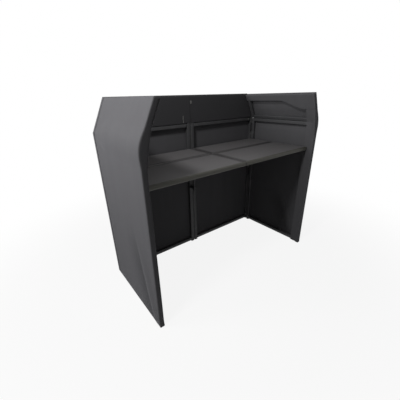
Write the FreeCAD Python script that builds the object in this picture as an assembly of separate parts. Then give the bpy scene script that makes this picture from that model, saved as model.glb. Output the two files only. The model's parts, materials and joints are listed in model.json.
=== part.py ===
import FreeCAD, Part
import math
import os

# A folding booth for a performer: four hinged panels of square steel tube with stretch covers, round a
# table of four boards. Millimetres. The origin is on the floor at the middle of the footprint, Z is up,
# the audience is on the +Y side and the performer stands on the -Y side.

# Overall sizes, over the covers.
width = 1320.0
depth = 610.0
height = 1150.0
flap_height = 185.0
lean_angle = 25.0

# Tube frames, covers and feet.
tube = 25.0
tube_wall = 1.5
cover_thickness = 1.2
cover_floor_gap = 4.0
cover_edge_gap = 1.0
foot_height = 8.0
foot_plug_depth = 15.0
foot_plug_clearance = 0.2
overrun = 5.0

# Table, set below the ridge and between the panels.
table_drop = 175.0
board_thickness = 25.0
edging_thickness = 2.0
back_board_depth = 235.0
board_gap = 8.0
table_back_gap = 1.0
table_end_gap = 4.0
table_rear_gap = 41.8
rest_clearance = 0.3

# Ledgers, angle sections that carry the table.
ledger_thickness = 3.0
back_ledger_depth = 30.0
back_ledger_drop = 30.0
side_ledger_drop = 40.0
side_ledger_reach = 40.0
side_ledger_inset = 12.0
ledger_end_gap = 4.0

# Frame hinges: three knuckles on one pin, with a flat plate on each side.
hinge_length = 70.0
knuckle_radius = 4.0
pin_diameter = 4.0
plate_thickness = 2.5
plate_reach = 22.0
pin_clearance = 0.05
knuckle_clearance = 0.5
flap_plate_thickness = 1.8
flap_plate_reach = 12.0
wing_gap = 12.0
flap_stop_clearance = 0.4
fold_clearance = 0.8
frame_hinge_shares = (0.08, 0.5, 0.92)

# Gate, a bracket that swings out under the table.
gate_upright_diameter = 20.0
gate_wall = 2.0
gate_upright_length = 270.0
gate_arm = 20.0
gate_tip_gap = 67.0
gate_brace_width = 12.0
gate_brace_drop = 170.0
gate_brace_run = 230.0
gate_pad_thickness = 3.0
gate_pad_left = 12.0
gate_pad_right = 42.0
gate_pad_start = 60.0
gate_clearance = 5.0
lug_thickness = 6.0
lug_rim = 7.0
lug_inset = 22.0
collar_width = 4.0
collar_height = 8.0

# Places worked out from the sizes above.
lean = math.radians(lean_angle)
ridge_height = height - flap_height
table_height = ridge_height - table_drop
half_width = width / 2
outer_face = half_width - cover_thickness
inner_face = outer_face - tube
front_face = (depth - fold_clearance - knuckle_radius) / 2
frame_front = front_face - cover_thickness
frame_back = frame_front - tube
wing_front = frame_back - wing_gap
wing_rear = front_face - depth
wing_axis_y = frame_back - wing_gap / 2
pin_inset = knuckle_radius + cover_thickness + rest_clearance
hinge_axis_x = half_width - pin_inset
stop_depth = hinge_axis_x - inner_face
flap_gap = (stop_depth * math.sin(lean) + flap_stop_clearance) / (1 + math.cos(lean))
wing_top = ridge_height - flap_gap
flap_bottom = ridge_height + flap_gap
flap_top = ridge_height + (height - ridge_height - pin_inset * math.sin(lean)) / math.cos(lean)
seam_half = knuckle_radius + knuckle_clearance
fold_axis_y = front_face + fold_clearance
tube_across = tube / math.cos(lean)
wall_across = tube_wall / math.cos(lean)
top_rail_bottom = height - tube
table_bottom = table_height - board_thickness
table_end = inner_face - table_end_gap
table_back = frame_back - table_back_gap
table_seam = table_back - back_board_depth
rear_board_back = table_seam - board_gap
table_edge = wing_rear + table_rear_gap
rear_board_front = table_edge + edging_thickness
ledger_top = table_bottom - rest_clearance
side_ledger_edge = inner_face - side_ledger_reach
side_ledger_end = table_edge + side_ledger_inset
gate_axis_x = -seam_half - tube / 2
gate_axis_y = frame_back - back_ledger_depth - gate_arm / 2 - gate_clearance
gate_pad_bottom = table_bottom - rest_clearance - gate_pad_thickness
gate_arm_bottom = gate_pad_bottom - gate_arm
gate_upright_bottom = gate_arm_bottom - gate_upright_length

V = FreeCAD.Vector
X_DIR = V(1, 0, 0)
Y_DIR = V(0, 1, 0)
Z_DIR = V(0, 0, 1)
ORIGIN = V(0, 0, 0)


def box(x0, x1, y0, y1, z0, z1):
    """A block between two corners."""
    return Part.makeBox(x1 - x0, y1 - y0, z1 - z0, V(x0, y0, z0))


def hollow(x0, x1, y0, y1, z0, z1, run):
    """A square tube between two corners, open along run, which is x, y or z."""
    grow = {axis: (overrun if axis == run else -tube_wall) for axis in "xyz"}
    core = box(x0 - grow["x"], x1 + grow["x"], y0 - grow["y"], y1 + grow["y"], z0 - grow["z"], z1 + grow["z"])
    return box(x0, x1, y0, y1, z0, z1).cut(core)


def prism(points, y0, y1):
    """A polygon in the XZ plane carried from y0 to y1."""
    corners = [V(x, y0, z) for x, z in points]
    face = Part.Face(Part.makePolygon(corners + corners[:1]))
    return face.extrude(V(0, y1 - y0, 0))


def mirrored(shape):
    """The same piece on the other side of the booth."""
    return shape.mirror(ORIGIN, X_DIR)


def slant_x(z):
    """Outer tube face of the front panel at a height above the ridge."""
    return outer_face - (z - ridge_height) * math.tan(lean)


def knuckle_spans(length, middle):
    """Spans of the knuckles on one hinge plate: the middle one, or the two outer ones."""
    third = length / 3
    gap = knuckle_clearance / 2
    if middle:
        return [(third + gap, 2 * third - gap)]
    return [(0, third - gap), (2 * third + gap, length)]


def hinge_plate(length, middle, side, radius, pin, gap, thickness, reach):
    """One half of a hinge on the local Z axis, with its plate along local X on one side in Y."""
    low, high = sorted((side * (gap - thickness), side * gap))
    start = radius + knuckle_clearance
    plate = box(start, reach, low, high, 0, length)
    for bottom, top in knuckle_spans(length, middle):
        barrel = Part.makeCylinder(radius, top - bottom, V(0, 0, bottom))
        web = box(0, start, low, high, bottom, top)
        plate = plate.fuse([barrel, web])
    bore = Part.makeCylinder(pin / 2 + pin_clearance, length + 2 * overrun, V(0, 0, -overrun))
    return plate.cut(bore).removeSplitter()


def placed(shape, origin, x_dir, y_dir, z_dir):
    """A copy of a local shape, set at origin with its axes along three directions."""
    turn = FreeCAD.Rotation(x_dir, y_dir, z_dir, "ZXY")
    return shape.transformed(FreeCAD.Placement(origin, turn).toMatrix())


def hinge_set(origins, directions, length, radius, pin, gap, thickness, reach, fixed_side):
    """Fixed plates, moving plates and pins of a row of hinges, as three groups."""
    fixed = hinge_plate(length, False, fixed_side, radius, pin, gap, thickness, reach)
    moving = hinge_plate(length, True, -fixed_side, radius, pin, gap, thickness, reach)
    rod = Part.makeCylinder(pin / 2, length)
    groups = []
    for shape in (fixed, moving, rod):
        groups.append(Part.makeCompound([placed(shape, origin, *directions) for origin in origins]))
    return groups


def along(low, high, length, shares):
    """Starting points of pieces of one length, centred at shares of a span."""
    return [low + share * (high - low) - length / 2 for share in shares]


def front_half():
    """Frame, cover, ledger and feet of the right half of the front panel."""
    pieces = {}
    y0, y1 = frame_back, frame_front
    post_side = seam_half + tube
    pieces["outer_post"] = hollow(inner_face, outer_face, y0, y1, foot_height, ridge_height, "z")
    pieces["centre_post"] = hollow(seam_half, post_side, y0, y1, foot_height, height, "z")
    low, high = slant_x(ridge_height), slant_x(top_rail_bottom)
    outline = [(low, ridge_height), (high, top_rail_bottom)]
    outline += [(high - tube_across, top_rail_bottom), (low - tube_across, ridge_height)]
    core = [(low - wall_across, ridge_height), (high - wall_across, top_rail_bottom)]
    core += [(high - tube_across + wall_across, top_rail_bottom), (low - tube_across + wall_across, ridge_height)]
    slant = prism(outline, y0, y1).cut(prism(core, y0 + tube_wall, y1 - tube_wall))
    pieces["slanted_post"] = slant
    rails = []
    for bottom in (foot_height, ridge_height - tube):
        rails.append(hollow(post_side, inner_face, y0, y1, bottom, bottom + tube, "x"))
    pieces["rails"] = Part.makeCompound(rails)
    outline = [(post_side, top_rail_bottom), (slant_x(top_rail_bottom), top_rail_bottom)]
    outline += [(slant_x(height), height), (post_side, height)]
    core = box(post_side - overrun, outer_face, y0 + tube_wall, y1 - tube_wall,
               top_rail_bottom + tube_wall, height - tube_wall)
    pieces["top_rail"] = prism(outline, y0, y1).cut(core)
    side_shift = half_width - outer_face
    outline = [(seam_half, cover_floor_gap), (half_width, cover_floor_gap), (half_width, ridge_height)]
    outline += [(slant_x(height) + side_shift, height), (seam_half, height)]
    pieces["cover"] = prism(outline, frame_front, front_face)
    ledger_end = side_ledger_edge - ledger_end_gap
    shelf = box(post_side, ledger_end, y0 - back_ledger_depth, y0, ledger_top - ledger_thickness, ledger_top)
    leg = box(post_side, ledger_end, y0 - ledger_thickness, y0, ledger_top - back_ledger_drop, ledger_top)
    pieces["back_ledger"] = shelf.fuse(leg).removeSplitter()
    middle = (y0 + y1) / 2
    pieces["feet"] = feet([(seam_half + tube / 2, middle), (outer_face - tube / 2, middle)])
    return pieces


def feet(places):
    """Rubber feet, square caps whose plugs push up into the open ends of the posts."""
    half = tube / 2
    plug_half = half - tube_wall - foot_plug_clearance
    caps = []
    for x, y in places:
        cap = box(x - half, x + half, y - half, y + half, 0, foot_height)
        plug = box(x - plug_half, x + plug_half, y - plug_half, y + plug_half, 0, foot_height + foot_plug_depth)
        caps.append(cap.fuse(plug).removeSplitter())
    return Part.makeCompound(caps)


def wing():
    """Frame, cover, ledger and feet of the right wing."""
    pieces = {}
    x0, x1 = inner_face, outer_face
    posts = []
    for y in (wing_front - tube, wing_rear):
        posts.append(hollow(x0, x1, y, y + tube, foot_height, wing_top, "z"))
    pieces["posts"] = Part.makeCompound(posts)
    rails = []
    for bottom in (foot_height, wing_top - tube):
        rails.append(hollow(x0, x1, wing_rear + tube, wing_front - tube, bottom, bottom + tube, "y"))
    pieces["rails"] = Part.makeCompound(rails)
    pieces["cover"] = box(outer_face, half_width, wing_rear, wing_axis_y - cover_edge_gap,
                          cover_floor_gap, ridge_height - cover_edge_gap)
    shelf = box(side_ledger_edge, x0, side_ledger_end, wing_front, ledger_top - ledger_thickness, ledger_top)
    leg = box(x0 - ledger_thickness, x0, side_ledger_end, wing_front, ledger_top - side_ledger_drop, ledger_top)
    pieces["ledger"] = shelf.fuse(leg).removeSplitter()
    middle = (x0 + x1) / 2
    pieces["feet"] = feet([(middle, wing_front - tube / 2), (middle, wing_rear + tube / 2)])
    return pieces


def leaned(shape):
    """A piece of the right flap, drawn upright, tipped inward about the ridge hinge."""
    return shape.rotated(V(hinge_axis_x, 0, ridge_height), Y_DIR, -lean_angle)


def flap():
    """Frame and cover of the leaning top of the right wing."""
    pieces = {}
    x0, x1 = inner_face, outer_face
    struts = []
    for y in (wing_front - tube, wing_rear):
        struts.append(hollow(x0, x1, y, y + tube, flap_bottom, flap_top, "z"))
    pieces["struts"] = Part.makeCompound(struts)
    rails = []
    for bottom in (flap_bottom, flap_top - tube):
        rails.append(hollow(x0, x1, wing_rear + tube, wing_front - tube, bottom, bottom + tube, "y"))
    pieces["rails"] = Part.makeCompound(rails)
    pieces["cover"] = box(outer_face, half_width, wing_rear, wing_axis_y - cover_edge_gap,
                          ridge_height + cover_edge_gap, flap_top)
    return {name: leaned(shape) for name, shape in pieces.items()}


def table():
    """The two right table boards, and the edging on the edge next to the performer."""
    pieces = {}
    side = board_gap / 2
    pieces["back_board"] = box(side, table_end, table_seam, table_back, table_bottom, table_height)
    pieces["rear_board"] = box(side, table_end, rear_board_front, rear_board_back, table_bottom, table_height)
    pieces["edging"] = box(side, table_end, table_edge, rear_board_front, table_bottom, table_height)
    return pieces


def centre_hinges():
    """Hinges on the front face that let the front panel fold in half."""
    starts = along(foot_height, height, hinge_length, frame_hinge_shares)
    origins = [V(0, fold_axis_y, z) for z in starts]
    directions = (-Y_DIR, X_DIR, Z_DIR)
    return hinge_set(origins, directions, hinge_length, knuckle_radius, pin_diameter, seam_half,
                     plate_thickness, plate_reach, -1)


def wing_hinges():
    """Upright hinges between the front panel and the right wing."""
    starts = along(foot_height, wing_top, hinge_length, frame_hinge_shares)
    origins = [V(hinge_axis_x, wing_axis_y, z) for z in starts]
    directions = (-X_DIR, -Y_DIR, Z_DIR)
    return hinge_set(origins, directions, hinge_length, knuckle_radius, pin_diameter, wing_gap / 2,
                     plate_thickness, plate_reach, -1)


def flap_hinges():
    """Ridge hinges between the right wing and its flap. The moving plates lean with the flap."""
    starts = along(wing_rear, wing_front, hinge_length, frame_hinge_shares)
    origins = [V(hinge_axis_x, y, ridge_height) for y in starts]
    directions = (-X_DIR, Z_DIR, Y_DIR)
    fixed, moving, pins = hinge_set(origins, directions, hinge_length, knuckle_radius, pin_diameter, flap_gap,
                                    flap_plate_thickness, flap_plate_reach, -1)
    return fixed, leaned(moving), pins


def gate():
    """Bracket under the middle of the table, on a round upright that turns in two lugs."""
    pieces = {}
    radius = gate_upright_diameter / 2
    lug_bottoms = (gate_upright_bottom + lug_inset, gate_arm_bottom - lug_inset - lug_thickness)
    foot = V(gate_axis_x, gate_axis_y, gate_upright_bottom)
    collar_base = V(gate_axis_x, gate_axis_y, lug_bottoms[0] + lug_thickness + rest_clearance)
    upright = Part.makeCylinder(radius, gate_upright_length, foot)
    upright = upright.fuse(Part.makeCylinder(radius + collar_width, collar_height, collar_base))
    bore = Part.makeCylinder(radius - gate_wall, gate_upright_length + 2 * overrun, foot - V(0, 0, overrun))
    pieces["upright"] = upright.cut(bore).removeSplitter()
    x0, x1 = gate_axis_x - gate_arm / 2, gate_axis_x + gate_arm / 2
    arm_end = table_edge + gate_tip_gap
    pieces["arm"] = hollow(x0, x1, arm_end, gate_axis_y + radius, gate_arm_bottom, gate_pad_bottom, "y")
    pieces["brace"] = gate_brace(radius)
    pieces["pad"] = box(gate_axis_x - gate_pad_left, gate_axis_x + gate_pad_right, arm_end,
                        gate_axis_y - gate_pad_start, gate_pad_bottom, gate_pad_bottom + gate_pad_thickness)
    lugs = []
    for bottom in lug_bottoms:
        reach = radius + lug_rim
        plate = box(gate_axis_x - reach, gate_axis_x + reach, gate_axis_y - reach, frame_back,
                    bottom, bottom + lug_thickness)
        hole = Part.makeCylinder(radius + pin_clearance, lug_thickness + 2 * overrun,
                                 V(gate_axis_x, gate_axis_y, bottom - overrun))
        lugs.append(plate.cut(hole))
    return pieces, Part.makeCompound(lugs)


def gate_brace(radius):
    """Flat slanted strut from the side of the upright to the underside of the arm."""
    x0 = gate_axis_x - gate_brace_width / 2
    far = gate_axis_y - gate_brace_run
    foot = gate_arm_bottom - gate_brace_drop
    outline = [(gate_axis_y, foot), (far, gate_arm_bottom), (far + gate_brace_width, gate_arm_bottom)]
    outline += [(gate_axis_y, foot + gate_brace_width)]
    corners = [V(x0, y, z) for y, z in outline]
    face = Part.Face(Part.makePolygon(corners + corners[:1]))
    bar = face.extrude(V(gate_brace_width, 0, 0))
    return bar.cut(Part.makeCylinder(radius, gate_upright_length, V(gate_axis_x, gate_axis_y, gate_upright_bottom)))


def assembly():
    """Every node of the booth by name."""
    nodes = {}
    centre_fixed, centre_moving, centre_pins = centre_hinges()
    wing_fixed, wing_moving, wing_pins = wing_hinges()
    flap_fixed, flap_moving, flap_pins = flap_hinges()
    right = {"front_right_" + name: shape for name, shape in front_half().items()}
    right.update({"wing_right_" + name: shape for name, shape in wing().items()})
    right.update({"flap_right_" + name: shape for name, shape in flap().items()})
    right.update({"table_right_" + name: shape for name, shape in table().items()})
    right["wing_right_hinge_front_plates"] = wing_fixed
    right["wing_right_hinge_wing_plates"] = wing_moving
    right["wing_right_hinge_pins"] = wing_pins
    right["flap_right_hinge_lower_plates"] = flap_fixed
    right["flap_right_hinge_upper_plates"] = flap_moving
    right["flap_right_hinge_pins"] = flap_pins
    for name, shape in right.items():
        nodes[name] = shape
        nodes[name.replace("_right_", "_left_")] = mirrored(shape)
    nodes["centre_hinge_left_plates"] = centre_fixed
    nodes["centre_hinge_right_plates"] = centre_moving
    nodes["centre_hinge_pins"] = centre_pins
    gate_pieces, lugs = gate()
    for name, shape in gate_pieces.items():
        nodes["gate_" + name] = shape
    nodes["gate_lugs"] = lugs
    return nodes


os.makedirs("parts", exist_ok=True)
for node_name, node_shape in assembly().items():
    node_shape.exportStep("parts/" + node_name + ".step")
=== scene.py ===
import json
import math

import bmesh
import bpy
from mathutils import Matrix, Vector


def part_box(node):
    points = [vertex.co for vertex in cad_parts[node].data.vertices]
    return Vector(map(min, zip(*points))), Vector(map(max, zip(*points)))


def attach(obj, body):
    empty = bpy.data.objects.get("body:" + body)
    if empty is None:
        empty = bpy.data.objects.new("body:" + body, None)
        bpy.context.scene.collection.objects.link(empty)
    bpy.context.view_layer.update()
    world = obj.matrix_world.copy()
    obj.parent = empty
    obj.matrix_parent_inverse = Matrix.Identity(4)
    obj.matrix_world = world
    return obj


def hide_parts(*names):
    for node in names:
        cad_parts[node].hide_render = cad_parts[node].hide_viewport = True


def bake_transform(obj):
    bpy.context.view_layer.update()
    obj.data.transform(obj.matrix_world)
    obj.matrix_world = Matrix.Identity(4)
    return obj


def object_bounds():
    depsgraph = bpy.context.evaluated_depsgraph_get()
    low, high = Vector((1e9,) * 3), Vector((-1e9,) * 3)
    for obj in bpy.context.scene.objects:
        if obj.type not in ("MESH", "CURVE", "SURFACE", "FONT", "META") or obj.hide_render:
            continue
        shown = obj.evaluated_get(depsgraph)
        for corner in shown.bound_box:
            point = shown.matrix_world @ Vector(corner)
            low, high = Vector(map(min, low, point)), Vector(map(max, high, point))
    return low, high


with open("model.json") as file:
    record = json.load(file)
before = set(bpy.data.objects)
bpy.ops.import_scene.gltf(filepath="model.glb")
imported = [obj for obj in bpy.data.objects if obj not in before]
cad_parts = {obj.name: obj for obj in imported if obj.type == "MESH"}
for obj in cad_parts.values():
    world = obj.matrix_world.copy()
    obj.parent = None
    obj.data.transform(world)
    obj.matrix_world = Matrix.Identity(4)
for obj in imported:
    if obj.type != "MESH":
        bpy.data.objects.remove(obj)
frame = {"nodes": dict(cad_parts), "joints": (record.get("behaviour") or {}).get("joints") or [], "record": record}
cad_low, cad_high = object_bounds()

bl_info = {
    "name": "Folding booth dressing",
    "version": (1, 0, 0),
    "blender": (4, 5, 0),
    "location": "3D View > Sidebar > Booth",
    "description": "Stretch covers, tubes, table boards and a studio stage round a packed folding booth",
    "category": "Object",
}

SIDES = ("left", "right")

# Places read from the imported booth. Pieces are drawn on the right side and mirrored for the left.
JOINTS = {joint["name"]: joint for joint in frame["joints"]}
RIDGE_AXIS = Vector(JOINTS["right_flap_fold"]["pos_m"])
LEAN = math.radians(JOINTS["right_flap_fold"]["range_deg"][1])
RIDGE = RIDGE_AXIS.z
FLAP_OUT = Matrix.Rotation(-LEAN, 3, "Y") @ Vector((1, 0, 0))
POSTS_LOW, POSTS_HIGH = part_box("wing_right_posts")
WING_RAILS_LOW, WING_RAILS_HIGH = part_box("wing_right_rails")
TUBE = POSTS_HIGH.x - POSTS_LOW.x
FLAP_GAP = RIDGE - POSTS_HIGH.z
FLAP_BOTTOM = RIDGE + FLAP_GAP
FLAP_TOP = RIDGE + (cad_high.z - RIDGE - (cad_high.x - RIDGE_AXIS.x) * math.sin(LEAN)) / math.cos(LEAN)
WING_PLATE_LOW, WING_PLATE_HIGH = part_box("wing_right_cover")
FRONT_PLATE_LOW, FRONT_PLATE_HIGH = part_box("front_right_cover")
FRONT_RAILS_LOW, FRONT_RAILS_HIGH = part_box("front_right_rails")
LEDGER_LOW, LEDGER_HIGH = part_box("wing_right_ledger")


def length(name, description, default):
    """A size in metres that a user may change."""
    return bpy.props.FloatProperty(
        name=name, description=description, default=default, precision=4, subtype="DISTANCE", unit="LENGTH"
    )


def amount(name, description, default):
    """A plain number that a user may change."""
    return bpy.props.FloatProperty(name=name, description=description, default=default)


def colour(name, description, default):
    """A linear colour that a user may change."""
    return bpy.props.FloatVectorProperty(
        name=name, description=description, default=default, size=3, min=0.0, max=1.0, subtype="COLOR"
    )


class CoverSettings(bpy.types.PropertyGroup):
    """Sizes and colours of the stretch covers, with their tongues and pulls."""

    cloth: length("Cloth", "Thickness of the stretch knit", 0.001)
    cell: length("Cell", "Size of one face of a wing cover", 0.006)
    front_cell: length("Front cell", "Size of one face of a front cover", 0.012)
    tint: colour("Cover tint", "Colour of the knit", (0.092, 0.091, 0.096))
    bow: length("Bow", "How far a cover pulls in between its tubes", 0.003)
    fold: length("Fold", "Rounding of a fold where a cover turns round a tube", 0.006)
    rear_hem: length("Rear hem", "How far a wing cover turns in behind its rear post", 0.070)
    top_hem: length("Top hem", "How far a flap cover hangs inside its top rail", 0.045)
    top_hem_droop: length("Top hem droop", "How much further it hangs at the rear", 0.058)
    ledger_slit: length("Ledger slit", "Room round the ledger where the rear hem is slit", 0.003)
    bend: length("Bend", "Half the height of a wing cover's turn at the ridge, at its front edge", 0.028)
    rear_bend: length("Rear bend", "The same, at its rear", 0.090)
    bend_reach: length("Bend reach", "How far behind the front edge the rear bend is reached", 0.150)
    bulge: length("Bulge", "How far a wing cover may stand off its tubes below the ridge", 0.004)
    bridge: length("Bridge", "Half the height over which its rear fold bridges the inner corner", 0.100)
    bridge_depth: length("Bridge depth", "How far in from that fold the hem lies flat again", 0.035)
    blend: length("Blend", "Half the height over which the cloth shares the wing's and flap's motion", 0.021)
    seam_gap: length("Seam gap", "Half the gap between the two front covers", 0.0008)
    knuckle_gap: length("Knuckle gap", "Half the width cut out round a front hinge", 0.0046)
    knuckle_room: length("Knuckle room", "Room above and below an upright hinge", 0.002)
    drop_inset: length("Drop inset", "How far an inner drop's foot ends inside the outer edge", 0.008)
    rim_room: length("Rim room", "How far the front covers' sides end before the wings' turning edges", 0.002)
    tongue: length("Tongue", "Thickness of the rubber tongues in the front's seam and corners", 0.0016)
    tongue_depth: length("Tongue depth", "How far the seam's tongue lies behind the posts' front", 0.0205)
    corner_inset: length("Corner inset", "How far a corner's tongue lies inside the wing's inner face", 0.002)
    corner_rise: length("Corner rise", "How far a corner's tongue rises above the ridge", 0.030)
    corner_room: length("Corner room", "Room between a corner's tongue and the wing's post", 0.0006)
    pull: length("Pull", "Thickness of a pull on an inner drop", 0.0024)
    pull_tint: colour("Pull tint", "Colour of the pulls", (0.13, 0.13, 0.125))


class FrameSettings(bpy.types.PropertyGroup):
    """Sizes and colours of the tubes and fittings."""

    edge: length("Tube edge", "Rounding of a square tube's edges", 0.0045)
    coat_tint: colour("Coat tint", "Colour of the powder coat", (0.066, 0.066, 0.069))
    steel_tint: colour("Steel tint", "Colour of the blackened steel", (0.10, 0.10, 0.105))
    rubber_tint: colour("Rubber tint", "Colour of the feet, pad, tongues and seals", (0.030, 0.030, 0.030))


class TableSettings(bpy.types.PropertyGroup):
    """Sizes and colours of the table."""

    edge: length("Board edge", "Rounding of a board's edges", 0.009)
    # The band along a seam, and its fade, are painted shade.
    band: length("Band", "Half the width of the dark band along a seam", 0.020)
    band_fade: length("Band fade", "Width over which that band fades", 0.012)
    seal_depth: length("Seal depth", "How far the seam seals lie below the table top", 0.010)
    seal_root: length("Seal root", "How far a seam seal reaches into its own board's rounded edge", 0.004)
    seal_room: length("Seal room", "Room between a seam seal and the next board", 0.0006)
    nosing_edge: length("Nosing edge", "Rounding of the strip on the performer's edge", 0.009)
    nosing_lip: length("Nosing lip", "How far that strip laps over the board", 0.010)
    nosing_rise: length("Nosing rise", "How far that strip stands proud of the board", 0.0004)
    board_tint: colour("Board tint", "Colour of the laminate", (0.115, 0.110, 0.112))
    nosing_tint: colour("Nosing tint", "Colour of the edging", (0.078, 0.077, 0.066))


class StageSettings(bpy.types.PropertyGroup):
    """Sizes, colours and strengths of the floor and the light."""

    floor_radius: length("Floor radius", "Radius of the floor", 12.0)
    floor_tint: colour("Floor tint", "Colour of the floor", (0.80, 0.80, 0.80))
    bounce_tint: colour("Bounce tint", "How much light the floor sends back up", (0.66, 0.66, 0.66))
    shadow: amount("Shadow", "How much of the floor's own shade the camera sees", 0.11)
    shadow_start: length("Shadow start", "Where the floor's shade begins to fade", 0.8)
    shadow_reach: length("Shadow reach", "Where the floor's shade has faded to white", 2.2)
    key_watts: amount("Key power", "Power of the key light", 19.0)
    key_size: length("Key size", "Width of the key light", 0.30)
    side_watts: amount("Side power", "Power of the soft light from the left", 35.0)
    side_size: length("Side size", "Width of that light", 0.80)
    ambient: amount("Ambient", "Strength of the soft light from all round", 0.15)


# Building blocks for meshes.

# Points closer than this share a place.
SAME = 1e-5
# A cut joins points closer than this.
CUT_JOIN = 1e-6


def round_edges(bm, edges, radius, segments, clamp=False):
    """Rounds edges; a clamped rounding shrinks where two of them would meet."""
    bmesh.ops.bevel(
        bm, geom=edges, offset=radius, offset_type="OFFSET", segments=segments, profile=0.5,
        affect="EDGES", material=-1, clamp_overlap=clamp,
    )


def add_block(bm, low, high):
    """A sharp block between two corners; returns its vertices."""
    made = bmesh.ops.create_cube(bm, size=1.0)["verts"]
    bmesh.ops.scale(bm, vec=high - low, verts=made)
    bmesh.ops.translate(bm, vec=(low + high) / 2, verts=made)
    return made


def add_bar(bm, low, high, edge, segments=3):
    """A straight bar between two corners with rounded edges; returns its vertices."""
    before = set(bm.verts)
    made = add_block(bm, low, high)
    round_edges(bm, list(dict.fromkeys(e for v in made for e in v.link_edges)), edge, segments)
    return [v for v in bm.verts if v not in before]


def pair_of_bars(low, high, axis, size):
    """The two bars at the ends of a box along one axis, as corners."""
    first_high = high.copy()
    first_high[axis] = low[axis] + size
    second_low = low.copy()
    second_low[axis] = high[axis] - size
    return [(low, first_high), (second_low, high)]


def slope(angle, height):
    """A matrix that slides points in X by their height above a level."""
    run = math.tan(angle)
    return Matrix(((1, 0, -run, run * height), (0, 1, 0, 0), (0, 0, 1, 0), (0, 0, 0, 1)))


def lean_in(bm):
    """Tips the right flap's pieces, drawn upright, about the ridge hinge."""
    bmesh.ops.rotate(bm, cent=RIDGE_AXIS, matrix=Matrix.Rotation(-LEAN, 3, "Y"), verts=bm.verts)


def to_side(bm, side):
    """Carries a right-hand shape over to the left where that side is asked for."""
    if side == "left":
        bmesh.ops.scale(bm, vec=(-1, 1, 1), verts=bm.verts)
        bmesh.ops.reverse_faces(bm, faces=bm.faces)


def make_piece(name, bm, slot, finish=None):
    """Finishes a bmesh as a smooth object at the origin, with its slot's material or another one."""
    for face in bm.faces:
        face.smooth = True
    mesh = bpy.data.meshes.new(name)
    bm.to_mesh(mesh)
    bm.free()
    mesh.materials.append(finish_for(finish or slot))
    piece = bpy.data.objects.new(name, mesh)
    bpy.context.scene.collection.objects.link(piece)
    return piece


def even_shading(piece):
    """Lets the large faces of a piece rule its shading, not its rims and roundings."""
    even = piece.modifiers.new("Even shading", "WEIGHTED_NORMAL")
    even.keep_sharp = True


def free_edges(bm, test):
    """Free edges of a sheet whose two ends pass a test."""
    return [e for e in bm.edges if e.is_boundary and all(test(v.co) for v in e.verts)]


def carry_on(bm, edges, move):
    """Extends a sheet from a row of free edges; returns the new row's edges and vertices."""
    made = bmesh.ops.extrude_edge_only(bm, edges=edges)["geom"]
    verts = [g for g in made if isinstance(g, bmesh.types.BMVert)]
    fresh = set(verts)
    row = [
        g for g in made
        if isinstance(g, bmesh.types.BMEdge) and g.is_boundary and fresh.issuperset(g.verts)
    ]
    bmesh.ops.translate(bm, vec=move, verts=verts)
    return row, verts


def cut_rows(bm, faces, places, axis):
    """Cuts faces along planes across one axis."""
    normal = Vector((0, 0, 0))
    normal[axis] = 1
    for value in places:
        found = list(faces)
        edges = list(dict.fromkeys(e for f in found for e in f.edges))
        verts = list(dict.fromkeys(v for f in found for v in f.verts))
        spot = Vector((0, 0, 0))
        spot[axis] = value
        bmesh.ops.bisect_plane(bm, geom=verts + edges + found, dist=CUT_JOIN, plane_co=spot, plane_no=normal)


def cut_out(bm, faces, test):
    """Deletes the faces whose middle passes a test."""
    gone = [f for f in faces if test(f.calc_center_median())]
    bmesh.ops.delete(bm, geom=gone, context="FACES")


def ease(share):
    """A smooth step from 0 to 1."""
    share = min(1.0, max(0.0, share))
    return share * share * (3 - 2 * share)


# Building blocks for materials.


class Wire:
    """A shader socket; sums on it add Math nodes to its material."""

    def __init__(self, nodes, socket):
        self.nodes = nodes
        self.socket = socket

    def maths(self, operation, *values):
        return self.nodes.add("ShaderNodeMath", {"operation": operation}, dict(enumerate(values)))

    def __add__(self, other):
        return self.maths("ADD", self, other)

    def __radd__(self, other):
        return self.maths("ADD", other, self)

    def __sub__(self, other):
        return self.maths("SUBTRACT", self, other)

    def __rsub__(self, other):
        return self.maths("SUBTRACT", other, self)

    def __mul__(self, other):
        return self.maths("MULTIPLY", self, other)

    def __rmul__(self, other):
        return self.maths("MULTIPLY", other, self)

    def __pow__(self, other):
        return self.maths("POWER", self, other)

    def sine(self):
        return self.maths("SINE", self)

    def between(self, low, high):
        """0 below low, 1 above high and a smooth step between them."""
        return self.nodes.add(
            "ShaderNodeMapRange", {"interpolation_type": "SMOOTHSTEP", "clamp": True},
            {"Value": self, "From Min": low, "From Max": high},
        )


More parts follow.
